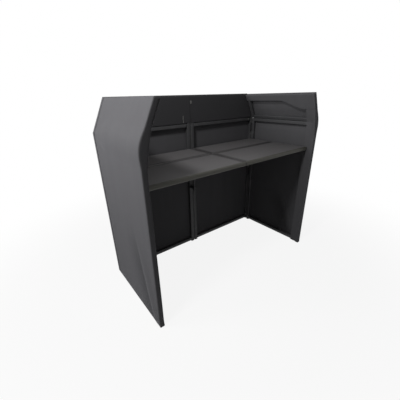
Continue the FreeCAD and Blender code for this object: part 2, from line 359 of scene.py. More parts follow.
class NodeBoard:
    """A node tree being wired, with one method that adds any node."""

    def __init__(self, tree):
        self.tree = tree
        tree.nodes.clear()

    def add(self, kind, settings=None, sockets=None, output=0):
        made = self.tree.nodes.new(kind)
        for name, value in (settings or {}).items():
            setattr(made, name, value)
        for name, value in (sockets or {}).items():
            if isinstance(value, Wire):
                self.tree.links.new(value.socket, made.inputs[name])
            else:
                made.inputs[name].default_value = value
        return Wire(self, made.outputs[output]) if made.outputs else None

    def place(self):
        """Object coordinates as a vector and as its three numbers."""
        place = self.add("ShaderNodeTexCoord", output="Object")
        parts = [self.add("ShaderNodeSeparateXYZ", None, {0: place}, axis) for axis in "XYZ"]
        return place, parts

    def stretched(self, place, scale):
        """The same coordinates drawn out by a factor along each axis."""
        return self.add("ShaderNodeMapping", None, {"Vector": place, "Scale": scale})

    def noise(self, place, scale, detail=2.0, roughness=0.5):
        return self.add(
            "ShaderNodeTexNoise", None,
            {"Vector": place, "Scale": scale, "Detail": detail, "Roughness": roughness},
        )

    def tone(self, first, second, share):
        """A colour between two colours, each a wire or three numbers."""
        ends = [end if isinstance(end, Wire) else (*end, 1.0) for end in (first, second)]
        return self.add("ShaderNodeMix", {"data_type": "RGBA"}, {0: share, 6: ends[0], 7: ends[1]}, 2)

    def bump(self, height, strength, distance):
        return self.add(
            "ShaderNodeBump", None, {"Height": height, "Strength": strength, "Distance": distance}
        )

    def seen(self):
        """1 for a ray from the camera, a gloss or a glass, and 0 for any other."""
        rays = ("Is Camera Ray", "Is Glossy Ray", "Is Transmission Ray")
        camera, gloss, glass = [self.add("ShaderNodeLightPath", output=ray) for ray in rays]
        total = camera + gloss + glass
        return total.maths("MINIMUM", total, 1.0)


class Finish(NodeBoard):
    """A material with one Principled shader."""

    def __init__(self, name):
        self.material = bpy.data.materials.new(name)
        self.material.use_nodes = True
        super().__init__(self.material.node_tree)

    def done(self, **sockets):
        """Adds the shader with its sockets, named with underscores for spaces, and returns the material."""
        named = {name.replace("_", " "): value for name, value in sockets.items()}
        shader = self.add("ShaderNodeBsdfPrincipled", None, named)
        self.add("ShaderNodeOutputMaterial", None, {"Surface": shader})
        return self.material


def shade(tint, factor):
    """A tint made lighter or darker."""
    return tuple(min(1.0, part * factor) for part in tint)


# Share of painted shade on a board: on its rounded edges and beside its seams.
PAINTED_SEAM_SHADE = "rim"
# Share of painted shade a cover gets at each point: it darkens the knit where shade falls.
PAINTED_SHADE = "painted_shade"
WALE = 0.0016
COURSE = 0.0011


def cover_cloth():
    """Stretch knit: fine wales and courses, faint pulls along its height, a soft sheen, and painted shade in front
    of creases, on the left wing's rear face and on the front covers' inner drops.
    """
    tint = bpy.context.scene.booth_covers.tint
    cloth = Finish("cover cloth")
    place, (x, y, z) = cloth.place()
    painted_shade = cloth.add("ShaderNodeAttribute", {"attribute_name": PAINTED_SHADE}, output="Fac")
    wales = ((x + y) * (math.tau / WALE)).sine()
    courses = (z * (math.tau / COURSE)).sine()
    grain = cloth.noise(place, scale=620.0, detail=3.0)
    knit = wales * courses * 0.5 + grain
    clouds = cloth.noise(place, scale=2.6, detail=3.0)
    pulls = cloth.noise(cloth.stretched(place, (22.0, 22.0, 1.6)), scale=1.0, detail=2.0)
    lint = cloth.noise(place, scale=240.0, detail=1.0).between(0.70, 0.78)
    share = clouds * 0.45 + pulls * 0.35 + grain * 0.2 + lint * 0.25
    knitted = cloth.tone(shade(tint, 0.78), shade(tint, 1.22), share)
    return cloth.done(
        # Painted shade: the knit darkens towards 0.55 of its tint where the painted shade attribute is set.
        Base_Color=cloth.tone(knitted, shade(tint, 0.55), painted_shade),
        Roughness=0.70 + clouds * 0.16,
        Specular_IOR_Level=0.10,
        Sheen_Weight=0.08,
        Sheen_Roughness=0.42,
        Sheen_Tint=(0.90, 0.90, 1.0, 1.0),
        Normal=cloth.bump(knit, strength=0.30, distance=0.0005),
    )


def tube_coat():
    """Black powder coat: a fine orange peel, with faint rubbed patches."""
    tint = bpy.context.scene.booth_frames.coat_tint
    coat = Finish("tube coat")
    place, _ = coat.place()
    peel = coat.noise(place, scale=420.0, detail=2.0)
    rubbed = coat.noise(place, scale=14.0, detail=4.0, roughness=0.65).between(0.52, 0.74)
    specks = coat.noise(place, scale=900.0, detail=1.0)
    return coat.done(
        Base_Color=coat.tone(shade(tint, 0.85), shade(tint, 1.6), rubbed * 0.6 + specks * 0.3),
        Roughness=0.54 + rubbed * 0.14 - peel * 0.08,
        Specular_IOR_Level=0.22,
        Normal=coat.bump(peel, strength=0.18, distance=0.0004),
    )


def board_laminate():
    """Satin laminate: fine pores along the board, smudges that change the gloss, rub marks, and painted shade on
    its rounded edges and beside its seams.
    """
    tint = bpy.context.scene.booth_table.board_tint
    board = Finish("board laminate")
    place, _ = board.place()
    rim = board.add("ShaderNodeAttribute", {"attribute_name": PAINTED_SEAM_SHADE}, output="Fac")
    pores = board.noise(board.stretched(place, (60.0, 420.0, 420.0)), scale=1.0, detail=3.0)
    smudges = board.noise(place, scale=5.5, detail=4.0, roughness=0.6)
    rubs = board.noise(board.stretched(place, (9.0, 55.0, 55.0)), scale=1.0, detail=2.0).between(0.66, 0.80)
    share = pores * 0.55 + smudges * 0.35 + rubs * 0.35
    laminate = board.tone(shade(tint, 0.80), shade(tint, 1.22), share)
    return board.done(
        # Painted shade: the laminate darkens to 0.40 of its tint on rounded edges and beside seams.
        Base_Color=board.tone(laminate, shade(tint, 0.40), rim),
        Roughness=0.40 + smudges * 0.18 + pores * 0.06,
        Specular_IOR_Level=0.35,
        Normal=board.bump(pores, strength=0.12, distance=0.0004),
    )


def edging_strip():
    """Olive grey plastic edging: drawn along its length, a little scuffed."""
    tint = bpy.context.scene.booth_table.nosing_tint
    strip = Finish("edging strip")
    place, _ = strip.place()
    drawn = strip.noise(strip.stretched(place, (12.0, 500.0, 500.0)), scale=1.0, detail=2.0)
    scuffs = strip.noise(place, scale=30.0, detail=4.0, roughness=0.7).between(0.55, 0.75)
    return strip.done(
        Base_Color=strip.tone(shade(tint, 0.85), shade(tint, 1.25), drawn * 0.6 + scuffs * 0.4),
        Roughness=0.50 + scuffs * 0.18,
        Specular_IOR_Level=0.24,
        Normal=strip.bump(drawn, strength=0.10, distance=0.0003),
    )


def pull_plastic():
    """Pale plastic: a faint moulded grain and grey scuffs."""
    tint = bpy.context.scene.booth_covers.pull_tint
    plastic = Finish("pull plastic")
    place, _ = plastic.place()
    grain = plastic.noise(place, scale=700.0, detail=2.0)
    scuffs = plastic.noise(place, scale=160.0, detail=3.0, roughness=0.6).between(0.50, 0.72)
    return plastic.done(
        Base_Color=plastic.tone(tint, shade(tint, 0.55), scuffs * 0.7 + grain * 0.2),
        Roughness=0.45 + grain * 0.12,
        Normal=plastic.bump(grain, strength=0.10, distance=0.0003),
    )


def hinge_steel():
    """Blackened steel: brushed along the hinge, worn brighter in spots."""
    tint = bpy.context.scene.booth_frames.steel_tint
    steel = Finish("hinge steel")
    place, _ = steel.place()
    brushed = steel.noise(steel.stretched(place, (900.0, 900.0, 40.0)), scale=1.0, detail=2.0)
    worn = steel.noise(place, scale=90.0, detail=3.0, roughness=0.6).between(0.55, 0.72)
    return steel.done(
        Base_Color=steel.tone(shade(tint, 0.5), shade(tint, 1.3), brushed * 0.35 + worn * 0.65),
        Metallic=0.7,
        Roughness=0.48 + brushed * 0.16,
        Normal=steel.bump(brushed, strength=0.08, distance=0.0002),
    )


def foot_rubber():
    """Matte rubber: dusty, with a fine moulded grain."""
    tint = bpy.context.scene.booth_frames.rubber_tint
    rubber = Finish("foot rubber")
    place, _ = rubber.place()
    grain = rubber.noise(place, scale=800.0, detail=2.0)
    dust = rubber.noise(place, scale=60.0, detail=3.0).between(0.48, 0.75)
    return rubber.done(
        Base_Color=rubber.tone(tint, shade(tint, 2.6), dust * 0.6 + grain * 0.2),
        Roughness=0.76 + dust * 0.12,
        Normal=rubber.bump(grain, strength=0.2, distance=0.0004),
    )


FINISHES = {
    "cover": cover_cloth,
    "frame": tube_coat,
    "board": board_laminate,
    "edging": edging_strip,
    "hinge": hinge_steel,
    "rubber": foot_rubber,
    "pull": pull_plastic,
}
made_finishes = {}


def finish_for(kind):
    """The material of a slot or of the pulls, made the first time it is asked for."""
    if kind not in made_finishes:
        made_finishes[kind] = FINISHES[kind]()
    return made_finishes[kind]


# The tubes.


def slanted_post(edge):
    """A function that draws the leaning outer post above the ridge."""
    low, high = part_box("front_right_slanted_post")
    low = Vector((high.x - TUBE / math.cos(LEAN), low.y, low.z))

    def draw(bm):
        verts = add_bar(bm, low, high, edge)
        bmesh.ops.transform(bm, matrix=slope(LEAN, RIDGE), verts=verts)

    return draw


def top_rail(edge):
    """A function that draws the top rail, cut to the slant at its outer end."""
    low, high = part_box("front_right_top_rail")

    def draw(bm):
        verts = add_bar(bm, low, high, edge)
        outer = [v for v in verts if v.co.x > (low.x + high.x) / 2]
        bmesh.ops.transform(bm, matrix=slope(LEAN, low.z), verts=outer)

    return draw


def make_bars(node, body, side, draw):
    """One tube piece of a side, from a function that draws it on the right."""
    bm = bmesh.new()
    draw(bm)
    to_side(bm, side)
    piece = make_piece(node + "_tube", bm, "frame")
    even_shading(piece)
    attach(piece, body)
    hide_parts(node)


def drawn_bars(spans, edge, leaning=False):
    """A function that draws bars between corners, leaning with the flap where asked."""

    def draw(bm):
        for low, high in spans:
            add_bar(bm, low, high, edge)
        if leaning:
            lean_in(bm)

    return draw


class BOOTH_OT_tube_frames(bpy.types.Operator):
    """Make the rounded square tubes of the front halves, wings and flaps"""

    bl_idname = "booth.tube_frames"
    bl_label = "Make tube frames"

    def execute(self, context):
        edge = context.scene.booth_frames.edge
        flap_low = Vector((POSTS_LOW.x, POSTS_LOW.y, FLAP_BOTTOM))
        flap_high = Vector((POSTS_HIGH.x, POSTS_HIGH.y, FLAP_TOP))
        flap_rails_low = Vector((POSTS_LOW.x, WING_RAILS_LOW.y, FLAP_BOTTOM))
        flap_rails_high = Vector((POSTS_HIGH.x, WING_RAILS_HIGH.y, FLAP_TOP))
        front_sets = {
            "outer_post": [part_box("front_right_outer_post")],
            "centre_post": [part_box("front_right_centre_post")],
            "rails": pair_of_bars(FRONT_RAILS_LOW, FRONT_RAILS_HIGH, 2, TUBE),
        }
        wing_sets = {
            "posts": pair_of_bars(POSTS_LOW, POSTS_HIGH, 1, TUBE),
            "rails": pair_of_bars(WING_RAILS_LOW, WING_RAILS_HIGH, 2, TUBE),
        }
        flap_sets = {
            "struts": pair_of_bars(flap_low, flap_high, 1, TUBE),
            "rails": pair_of_bars(flap_rails_low, flap_rails_high, 2, TUBE),
        }
        for side in SIDES:
            front = "front_" + side
            for name, spans in front_sets.items():
                make_bars(f"{front}_{name}", front, side, drawn_bars(spans, edge))
            make_bars(f"{front}_slanted_post", front, side, slanted_post(edge))
            make_bars(f"{front}_top_rail", front, side, top_rail(edge))
            for name, spans in wing_sets.items():
                make_bars(f"wing_{side}_{name}", side + "_wing", side, drawn_bars(spans, edge))
            for name, spans in flap_sets.items():
                make_bars(f"flap_{side}_{name}", side + "_flap", side, drawn_bars(spans, edge, leaning=True))
        return {"FINISHED"}


# The covers.

# Creases of the wing covers: start and end (y, z) on the outer face, and height.
CREASES = {
    "left": [((-0.120, 0.600), (-0.262, 0.030), 0.0045)],
    "right": [((-0.040, 0.480), (-0.240, 0.040), 0.0040)],
}
# How far from the outer face a point may lie and still be creased.
CREASE_REACH = 0.008
# Widths of a crease in front of its ridge and behind it.
CREASE_STEEP = 0.020
CREASE_GENTLE = 0.050
# Shares of a crease's length: over which it rises, where it has died out, and over which it dies out.
CREASE_SWELL = 0.55
CREASE_END = 1.08
CREASE_DECAY = 0.12
# The painted shade in front of a crease: its distance, and its widths towards the crease and away from it.
CREASE_AHEAD = 0.042
CREASE_SHADE_NEAR = 0.030
CREASE_SHADE_FAR = 0.090
# How much painted shade the turned rear face of each wing cover gets: the left one lies in shade, the right one
# gets none.
REAR_PAINTED_SHADE = {"left": 0.8, "right": 0.0}
# Along a flap: where the inner hem starts to hang lower, and the run over which it does.
DROOP_START = -0.04
DROOP_RUN = 0.19
# Thicknesses of cloth by which a cover stands off its tubes: at the rear, over the top and at an inner drop.
REAR_STAND = 0.7
TOP_STAND = 0.6
DROP_STAND = 1.5
# Thicknesses of cloth between the foot of a front cover's inner drop and the ridge.
DROP_FOOT = 4.0
# Rows of faces in each hem and drop.
REAR_HEM_ROWS = 4
TOP_HEM_ROWS = 6
FRONT_DROP_ROWS = 14
# Shape of a cover's bow between two tubes: smaller is fuller.
BOW_FULLNESS = 0.7
# A sheet that turns by more than this is folded round a tube.
FOLD_ANGLE = math.radians(40)
# Length of one upright hinge.
PIN_LENGTH = 0.070
# Rounding of a tongue's edges as a share of its thickness.
TONGUE_ROUNDING = 0.25


def sheet_grid(bm, across, place, cell):
    """A flat sheet of square faces; across holds its width and height."""
    bmesh.ops.create_grid(
        bm, x_segments=round(across[0] / cell), y_segments=round(across[1] / cell), size=0.5, matrix=place
    )


def pulled_in(share):
    """How far stretch cloth draws in at a share of its span between two tubes, from 0 to 1."""
    return math.sin(math.pi * min(1.0, max(0.0, share))) ** BOW_FULLNESS


def add_cloth(piece, cloth):
    """Gives a cover its thickness."""
    thick = piece.modifiers.new("Cloth thickness", "SOLIDIFY")
    thick.thickness = cloth
    thick.offset = 0.0
    even_shading(piece)


def round_folds(bm, radius):
    """Rounds the lines where a sheet turns sharply round a tube."""
    folds = [e for e in bm.edges if len(e.link_faces) == 2 and e.calc_face_angle() > FOLD_ANGLE]
    round_edges(bm, folds, radius, segments=3, clamp=True)


def hinge_spans(pins):
    """Heights of a row of three upright hinges, each as bottom and top."""
    low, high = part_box(pins)
    starts = (low.z, (low.z + high.z - PIN_LENGTH) / 2, high.z - PIN_LENGTH)
    return [(start, start + PIN_LENGTH) for start in starts]


def spans_between(bottom, top, hinges, room):
    """Heights that a row of hinges leaves free, each as bottom and top."""
    lows = [bottom, *(high + room for _, high in hinges)]
    highs = [*(low - room for low, _ in hinges), top]
    return list(zip(lows, highs))


def wing_sheet(bm, settings, face_x, rear):
    """The outer face of a wing and its flap, drawn upright and bowed in between its tubes."""
    front, low, high = WING_PLATE_HIGH.y, WING_PLATE_LOW.z, FLAP_TOP
    wide, tall = front - rear, high - low
    place = Matrix((
        (0, 0, 1, face_x), (wide, 0, 0, (front + rear) / 2), (0, tall, 0, (low + high) / 2), (0, 0, 0, 1),
    ))
    sheet_grid(bm, (wide, tall), place, settings.cell)
    for v in bm.verts:
        along = (v.co.y - rear - TUBE) / (wide - 2 * TUBE)
        up = (v.co.z - low - TUBE) / (POSTS_HIGH.z - low - 2 * TUBE)
        if v.co.z > RIDGE:
            up = (v.co.z - FLAP_BOTTOM - TUBE) / (FLAP_TOP - FLAP_BOTTOM - 2 * TUBE)
        v.co.x -= settings.bow * pulled_in(along) * pulled_in(up)


def press_crease(bm, face_x, painted_shade, start, end, depth):
    """Raises a soft crease along a line (y, z) on the outer face of a wing cover, with painted shade in front of
    it.
    """
    start = Vector(start)
    run = Vector(end) - start
    for v in bm.verts:
        if abs(v.co.x - face_x) > CREASE_REACH:
            continue
        flat = Vector((v.co.y, v.co.z)) - start
        share = flat.dot(run) / run.length_squared
        off = (flat.x * run.y - flat.y * run.x) / run.length
        width = CREASE_STEEP if off < 0 else CREASE_GENTLE
        rise = ease(share / CREASE_SWELL) * ease((CREASE_END - share) / CREASE_DECAY)
        v.co.x += depth * rise * math.exp(-((off / width) ** 2))
        # Painted shade: a band just in front of the crease, where the crease's shade falls.
        ahead = off + CREASE_AHEAD
        fade = CREASE_SHADE_FAR if ahead < 0 else CREASE_SHADE_NEAR
        v[painted_shade] = rise * math.exp(-((ahead / fade) ** 2))


def turn_rear_hem(bm, settings, face_x, rear, hem_x):
    """Turns a wing cover in behind its rear post and forward along the post's inner side."""
    edges = free_edges(bm, lambda co: co.y < rear + SAME)
    edges, _ = carry_on(bm, edges, (hem_x - face_x, 0, 0))
    for _ in range(REAR_HEM_ROWS):
        edges, _ = carry_on(bm, edges, (0, settings.rear_hem / REAR_HEM_ROWS, 0))


def hem_faces(bm):
    """Faces of a right wing cover that lie on the inner side of its rear post."""
    return [f for f in bm.faces if f.calc_center_median().x < POSTS_LOW.x]


def slit_for_ledger(bm, settings):
    """Cuts a wing cover's rear hem open where the ledger passes it."""
    slit_low = LEDGER_LOW - Vector((0, settings.ledger_slit, settings.ledger_slit))
    slit_top = LEDGER_HIGH.z + settings.ledger_slit
    for axis, value in ((2, slit_low.z), (2, slit_top), (1, slit_low.y)):
        cut_rows(bm, hem_faces(bm), [value], axis)
    cut_out(bm, hem_faces(bm), lambda spot: spot.y > slit_low.y and slit_low.z < spot.z < slit_top)


def droop_depth(settings, y):
    """How far the flap cover's inner hem hangs below its top, by place along the flap."""
    return settings.top_hem + settings.top_hem_droop * ease((DROOP_START - y) / DROOP_RUN)


def turn_top_hem(bm, settings, face_x, hem_x):
    """Turns a wing cover over the flap's top rail and lets it hang inside."""
    drop_x = hem_x - DROP_STAND * settings.cloth
    outer = face_x - settings.bow - settings.cloth
    edges = free_edges(bm, lambda co: co.z > FLAP_TOP - SAME and co.x > outer)
    edges, _ = carry_on(bm, edges, (drop_x - face_x, 0, 0))
    for row in range(1, TOP_HEM_ROWS + 1):
        edges, verts = carry_on(bm, edges, (0, 0, 0))
        for v in verts:
            v.co.z = FLAP_TOP - droop_depth(settings, v.co.y) * row / TOP_HEM_ROWS


def bent_at_ridge(co, settings, face_x, rear, hem_x):
    """Where a point of the upright wing cover lies once the flap leans in."""
    inward = min(1.0, max(0.0, (face_x - co.x) / (face_x - hem_x)))
    behind = ease((WING_PLATE_HIGH.y - co.y) / settings.bend_reach)
    half = settings.bend + (settings.rear_bend - settings.bend) * behind
    share = ease((co.z - RIDGE + half) / (2 * half))
    turned = RIDGE_AXIS + Matrix.Rotation(-LEAN * share, 3, "Y") @ (co - RIDGE_AXIS)
    if co.z < RIDGE:
        turned.x = min(turned.x, co.x + settings.bulge * behind * (1.0 - inward))
    else:
        proud = (turned - RIDGE_AXIS).dot(FLAP_OUT) - (co.x - RIDGE_AXIS.x)
        turned -= FLAP_OUT * max(0.0, proud) * inward
    bridge = max(0.0, 1.0 - abs(co.z - RIDGE) / settings.bridge)
    bridge *= 1.0 - ease((co.y - rear) / settings.bridge_depth)
    turned.x -= bridge * inward * settings.bridge * math.sin(LEAN) / 2
    return turned


def wing_cover(settings, side):
    """The cover of a wing and its flap in one sheet, with its rear and top hems."""
    bm = bmesh.new()
    face_x = (WING_PLATE_LOW.x + WING_PLATE_HIGH.x) / 2
    rear = POSTS_LOW.y - settings.cloth * REAR_STAND
    hem_x = POSTS_LOW.x - settings.cloth
    wing_sheet(bm, settings, face_x, rear)
    painted_shade = bm.verts.layers.float.new(PAINTED_SHADE)
    for start, end, depth in CREASES[side]:
        press_crease(bm, face_x, painted_shade, start, end, depth)
    turn_rear_hem(bm, settings, face_x, rear, hem_x)
    slit_for_ledger(bm, settings)
    turn_top_hem(bm, settings, face_x, hem_x)
    round_folds(bm, settings.fold)
    for v in bm.verts:
        # Painted shade on the turned rear face.
        if v.co.y < rear + settings.cloth:
            v[painted_shade] = REAR_PAINTED_SHADE[side]
        v.co = bent_at_ridge(v.co, settings, face_x, rear, hem_x)
    to_side(bm, side)
    return bm


def slant_at(z, outer):
    """Outer edge of the right front cover at a height."""
    return outer - max(0.0, z - RIDGE) * math.tan(LEAN)


def front_sheet(bm, settings, face_y, outer, high):
    """The flat outer face of a front half, cut to the slant above the ridge."""
    inner, low = settings.seam_gap, FRONT_PLATE_LOW.z
    wide, tall = outer - inner, high - low
    place = Matrix((
        (-wide, 0, 0, (inner + outer) / 2), (0, 0, 1, face_y), (0, tall, 0, (low + high) / 2), (0, 0, 0, 1),
    ))
    sheet_grid(bm, (wide, tall), place, settings.front_cell)
    bmesh.ops.bisect_plane(
        bm, geom=bm.verts[:] + bm.edges[:] + bm.faces[:], dist=CUT_JOIN, plane_co=(outer, face_y, RIDGE),
        plane_no=(math.cos(LEAN), 0, math.sin(LEAN)), clear_outer=True,
    )


def notch_for_hinges(bm, settings):
    """Cuts a front cover away round the hinges on its centre edge."""
    room = settings.knuckle_room
    notches = [(bottom - room, top + room) for bottom, top in hinge_spans("centre_hinge_pins")]
    for notch in notches:
        cut_rows(bm, bm.faces, notch, 2)
    cut_rows(bm, bm.faces, [settings.knuckle_gap], 0)

    def in_notch(spot):
        return spot.x < settings.knuckle_gap and any(bottom < spot.z < top for bottom, top in notches)

    cut_out(bm, bm.faces, in_notch)


def bow_front(bm, settings, outer, high):
    """Draws the face of a front cover in between its tubes."""
    low = FRONT_PLATE_LOW.z
    for v in bm.verts:
        along = (v.co.x - FRONT_RAILS_LOW.x) / (FRONT_RAILS_HIGH.x - FRONT_RAILS_LOW.x)
        up = (v.co.z - low - TUBE) / (RIDGE - low - 2 * TUBE)
        if v.co.z > RIDGE:
            along *= (outer - FRONT_RAILS_LOW.x) / (slant_at(v.co.z, outer) - FRONT_RAILS_LOW.x)
            up = (v.co.z - RIDGE) / (high - TUBE - RIDGE)
        v.co.y -= settings.bow * pulled_in(along) * pulled_in(up)


def turn_rim(bm, settings, face_y, outer, high):
    """Turns a front cover back round its outer and top tubes; returns the edges of its top row."""
    rim = free_edges(bm, lambda co: co.x > slant_at(co.z, outer) - SAME or co.z > high - SAME)
    rim, verts = carry_on(bm, rim, (0, FRONT_RAILS_LOW.y - face_y, 0))
    for v in verts:
        if v.co.z < high - SAME:
            v.co.y += settings.rim_room
    return [e for e in rim if all(v.co.z > high - SAME for v in e.verts)]


def hang_drop(bm, settings, edges, drop_y, outer, high):
    """Hangs a front cover's inner drop from its top row, down to the ridge."""
    fall = high - RIDGE - settings.cloth * DROP_FOOT
    reach = slant_at(high, outer)
    for row in range(1, FRONT_DROP_ROWS + 1):
        edges, verts = carry_on(bm, edges, (0, 0, 0))
        level = high - fall * row / FRONT_DROP_ROWS
        next_reach = min(slant_at(level, outer), outer - settings.drop_inset)
        for v in verts:
            v.co.x *= next_reach / reach
            v.co.y = drop_y
            v.co.z = level
        reach = next_reach


def front_cover(settings, side):
    """The cover of a front half: outer face, turned round the outer and top tubes, with an inner drop."""
    bm = bmesh.new()
    face_y = (FRONT_PLATE_LOW.y + FRONT_PLATE_HIGH.y) / 2
    drop_y = FRONT_RAILS_LOW.y - settings.cloth
    outer = FRONT_PLATE_HIGH.x - settings.cloth / 2
    high = FRONT_PLATE_HIGH.z + settings.cloth * TOP_STAND
    front_sheet(bm, settings, face_y, outer, high)
    notch_for_hinges(bm, settings)
    bow_front(bm, settings, outer, high)
    top_row = turn_rim(bm, settings, face_y, outer, high)
    hang_drop(bm, settings, top_row, drop_y, outer, high)
    round_folds(bm, settings.fold)
    # Painted shade over the whole inner drop above the ridge, on the inside of the front.
    painted_shade = bm.verts.layers.float.new(PAINTED_SHADE)
    for v in bm.verts:
        v[painted_shade] = float(v.co.y < drop_y + settings.cloth / 2 and v.co.z > RIDGE)
    to_side(bm, side)
    return bm


class BOOTH_OT_front_covers(bpy.types.Operator):
    """Make the stretch covers of the two front halves"""

    bl_idname = "booth.front_covers"
    bl_label = "Make front covers"

    def execute(self, context):
        settings = context.scene.booth_covers
        for side in SIDES:
            bm = front_cover(settings, side)
            area = sum(f.calc_area() for f in bm.faces)
            name = f"front_{side}_cover"
            piece = make_piece(name + "_cloth", bm, "cover")
            add_cloth(piece, settings.cloth)
            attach(piece, "front_" + side)
            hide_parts(name)
        return {"FINISHED"}


class BOOTH_OT_tongues(bpy.types.Operator):
    """Make the rubber tongues that close the front's fold and the corners beside the wings"""

    bl_idname = "booth.tongues"
    bl_label = "Make tongues"

    def execute(self, context):
        settings = context.scene.booth_covers
        self.seam(settings)
        for side in SIDES:
            self.corner(settings, side)
        return {"FINISHED"}

    def seam(self, settings):
        """The tongue on the left centre post, behind the gap between the front covers."""
        post_low, post_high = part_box("front_left_centre_post")
        right_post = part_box("front_right_centre_post")[0].x
        front = post_high.y - settings.tongue_depth
        hinges = hinge_spans("centre_hinge_pins")
        bm = bmesh.new()
        for bottom, top in spans_between(post_low.z, post_high.z, hinges, settings.knuckle_room):
            low = Vector((post_high.x, front - settings.tongue, bottom))
            high = Vector((right_post - settings.cloth, front, top))
            add_bar(bm, low, high, settings.tongue * TONGUE_ROUNDING)
        self.finish("front_left_seam_tongue", bm, "front_left")

    def corner(self, settings, side):
        """The tongue on an outer post, in the gap before the wing's front post."""
        post_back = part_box("front_right_outer_post")[0].y
        inner = POSTS_LOW.x + settings.corner_inset
        top_end = RIDGE + settings.corner_rise
        hinges = hinge_spans("wing_right_hinge_pins")
        bm = bmesh.new()
        for bottom, top in spans_between(POSTS_LOW.z, top_end, hinges, settings.knuckle_room):
            low = Vector((inner, POSTS_HIGH.y + settings.corner_room, bottom))
            high = Vector((inner + settings.tongue, post_back, top))
            add_bar(bm, low, high, settings.tongue * TONGUE_ROUNDING)
        to_side(bm, side)
        self.finish(f"front_{side}_corner_tongue", bm, "front_" + side)

    def finish(self, name, bm, body):
        """A tongue as a rubber piece that rides on a body."""
        piece = make_piece(name, bm, "rubber")
        even_shading(piece)
        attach(piece, body)


# Small pulls on the inside of the front: distance from the middle, height, width and length.
PULLS = {
    "left": [(0.060, 0.9965, 0.007, 0.045)],
    "right": [(0.009, 1.105, 0.014, 0.020), (0.605, 0.952, 0.009, 0.012)],
}
# Rounding of a pull's edges as a share of its thickness.
PULL_ROUNDING = 0.4


class BOOTH_OT_pulls(bpy.types.Operator):
    """Make the pale plastic pulls on the inner drops of the front covers"""

    bl_idname = "booth.pulls"
    bl_label = "Make pulls"

    def execute(self, context):
        settings = context.scene.booth_covers
        back = FRONT_RAILS_LOW.y - settings.cloth * DROP_STAND
        for side in SIDES:
            bm = bmesh.new()
            for x, z, wide, tall in PULLS[side]:
                low = Vector((x - wide / 2, back - settings.pull, z - tall / 2))
                high = Vector((x + wide / 2, back, z + tall / 2))
                add_bar(bm, low, high, settings.pull * PULL_ROUNDING)
            to_side(bm, side)
            piece = make_piece(f"front_{side}_cover_pulls", bm, "edging", finish="pull")
            even_shading(piece)
            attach(piece, "front_" + side)
        return {"FINISHED"}


class BOOTH_OT_wing_covers(bpy.types.Operator):
    """Make the stretch covers of the wings, each carried on over its flap"""

    bl_idname = "booth.wing_covers"
    bl_label = "Make wing covers"

    def execute(self, context):
        settings = context.scene.booth_covers
        for side in SIDES:
            bm = wing_cover(settings, side)
            area = sum(f.calc_area() for f in bm.faces)
            piece = make_piece(f"wing_{side}_cover_cloth", bm, "cover")
            add_cloth(piece, settings.cloth)
            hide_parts(f"wing_{side}_cover", f"flap_{side}_cover")
            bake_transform(piece)
        return {"FINISHED"}


# The table.


